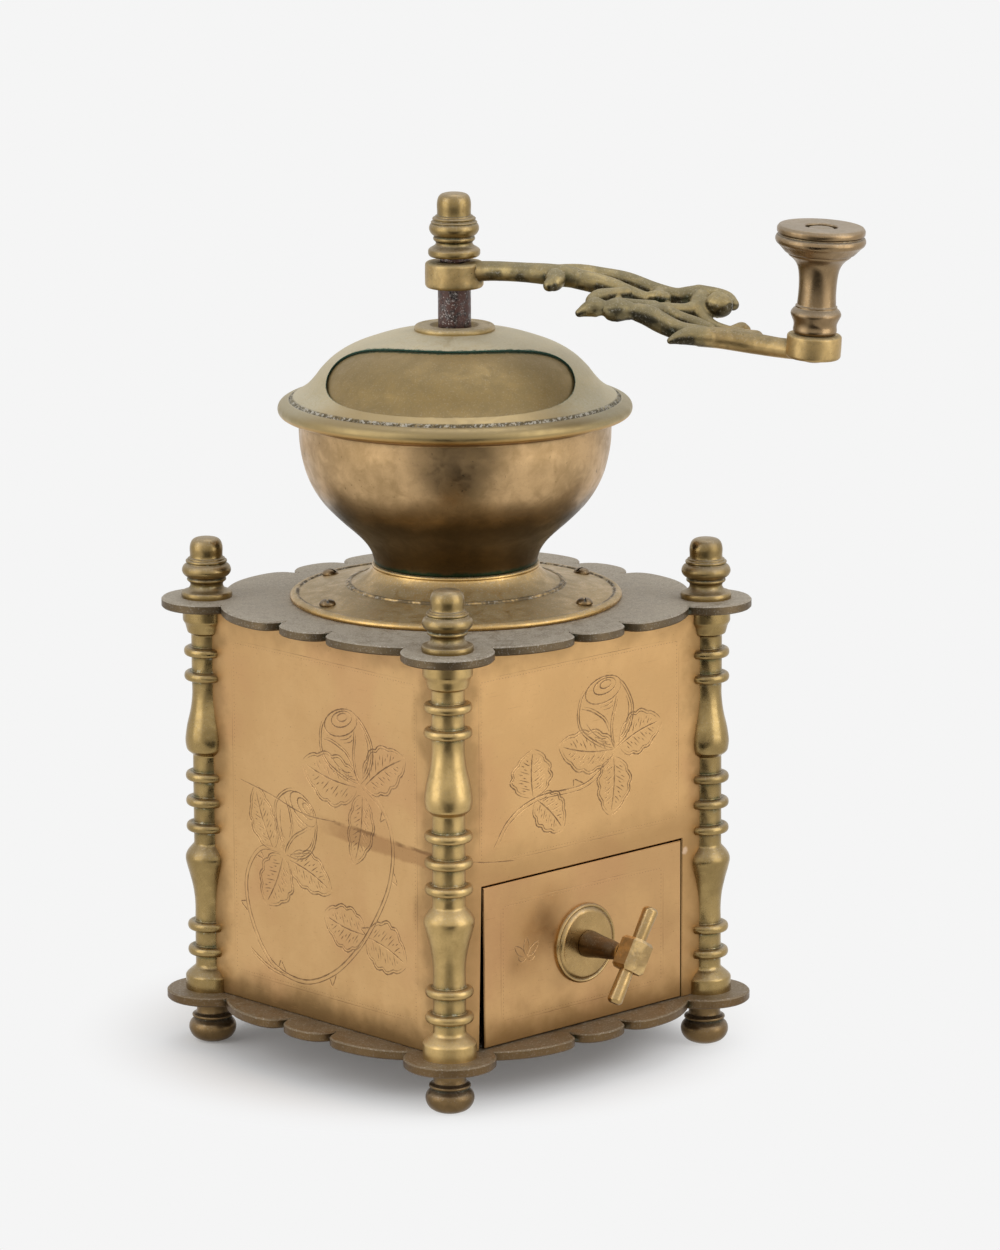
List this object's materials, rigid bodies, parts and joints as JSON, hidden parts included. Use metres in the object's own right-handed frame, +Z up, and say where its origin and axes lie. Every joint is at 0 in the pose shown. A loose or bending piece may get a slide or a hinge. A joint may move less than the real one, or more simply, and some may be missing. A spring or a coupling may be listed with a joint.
{
  "type": "manual coffee grinder",
  "caption": "Square brass box mill with turned corner columns, engraved sides, a domed round hopper, an openwork crank with a knob, and a drawer for the grounds.",
  "frame": {"origin": "on the crank's axis, in the flat underside of the bottom plate, 14.5 mm above the surface that the feet stand on", "axes": "+Z up along the crank's axis; the drawer opens towards -Y; +X to the right of someone who faces the drawer"},
  "size_m": [0.1406, 0.1982, 0.2754],
  "materials": {
    "dusty_brass": "old brass, grey-brown patina with dust",
    "satin_brass": "satin engraved sheet brass, warm tan gold",
    "olive_brass": "turned brass, olive gold with dark grooves",
    "bronze_brass": "cast and spun brass, bronze brown",
    "rusty_iron": "iron with dark red rust",
    "cast_iron": "dark cast iron, dry",
    "steel": "bright steel, dull with age"
  },
  "bodies": {
    "frame": {"foot_back_right": "olive_brass", "column_back_right": "olive_brass", "tie_rod_back_right": "steel", "finial_back_right": "olive_brass", "foot_back_left": "olive_brass", "column_back_left": "olive_brass", "tie_rod_back_left": "steel", "finial_back_left": "olive_brass", "foot_front_left": "olive_brass", "column_front_left": "olive_brass", "tie_rod_front_left": "steel", "finial_front_left": "olive_brass", "foot_front_right": "olive_brass", "column_front_right": "olive_brass", "tie_rod_front_right": "steel", "finial_front_right": "olive_brass", "front_panel": "satin_brass", "right_panel": "satin_brass", "back_panel": "satin_brass", "left_panel": "satin_brass", "bottom_plate": "dusty_brass", "top_plate": "dusty_brass", "hopper_foot": "bronze_brass", "hopper_screw_1": "bronze_brass", "hopper_screw_2": "bronze_brass", "hopper_screw_3": "bronze_brass", "hopper_screw_4": "bronze_brass", "hopper_screw_5": "bronze_brass", "hopper_screw_6": "bronze_brass", "hopper_bowl": "bronze_brass", "dome_lid": "olive_brass", "dome_collar": "bronze_brass", "shutter_retainer": "steel", "burr_housing": "cast_iron", "shaft_guide": "cast_iron", "lower_bridge": "cast_iron", "bridge_screw_left": "steel", "bridge_screw_right": "steel", "adjuster_lock_nut": "steel", "drawer_guide_right": "steel", "drawer_guide_left": "steel", "drawer_stop": "steel"},
    "thrust": {"thrust_ball": "steel"},
    "crank": {"crank_shaft": "rusty_iron", "inner_burr": "cast_iron", "burr_pin": "steel", "crank_arm": "bronze_brass", "crank_washer": "rusty_iron", "crank_finial": "olive_brass", "knob_pin": "bronze_brass"},
    "knob": {"crank_knob": "bronze_brass"},
    "adjuster": {"adjuster_screw": "steel"},
    "drawer": {"drawer_face": "satin_brass", "drawer_tray": "satin_brass", "drawer_rosette": "satin_brass", "pull_stem": "bronze_brass", "pull_bar": "bronze_brass", "pull_nut": "steel"},
    "shutter": {"dome_shutter": "olive_brass"}
  },
  "joints": [
    {"name": "shaft_lift", "type": "slide", "parent": "frame", "child": "thrust", "axis": [0, 0, 1], "range_m": [-0.0005, 0.0005]},
    {"name": "crank_turn", "type": "hinge", "parent": "thrust", "child": "crank", "pos_m": [0, 0, 0.2309], "axis": [0, 0, 1], "continuous": true},
    {"name": "knob_spin", "type": "hinge", "parent": "crank", "child": "knob", "pos_m": [0.04542, -0.11269, 0.22405], "axis": [0.0228, -0.0566, 0.9981], "continuous": true},
    {"name": "adjuster_turn", "type": "hinge", "parent": "thrust", "child": "adjuster", "pos_m": [0, 0, 0.0815], "axis": [0, 0, 1], "range_deg": [-180, 180]},
    {"name": "drawer_slide", "type": "slide", "parent": "frame", "child": "drawer", "axis": [0, -1, 0], "range_m": [0, 0.085]},
    {"name": "shutter_turn", "type": "hinge", "parent": "frame", "child": "shutter", "pos_m": [0, 0, 0.2173], "axis": [0, 0, 1], "range_deg": [0, 155]}
  ],
  "couplings": [
    {"joint": "adjuster_turn", "follows": "shaft_lift", "rad_per_m": 6283.2}
  ]
}
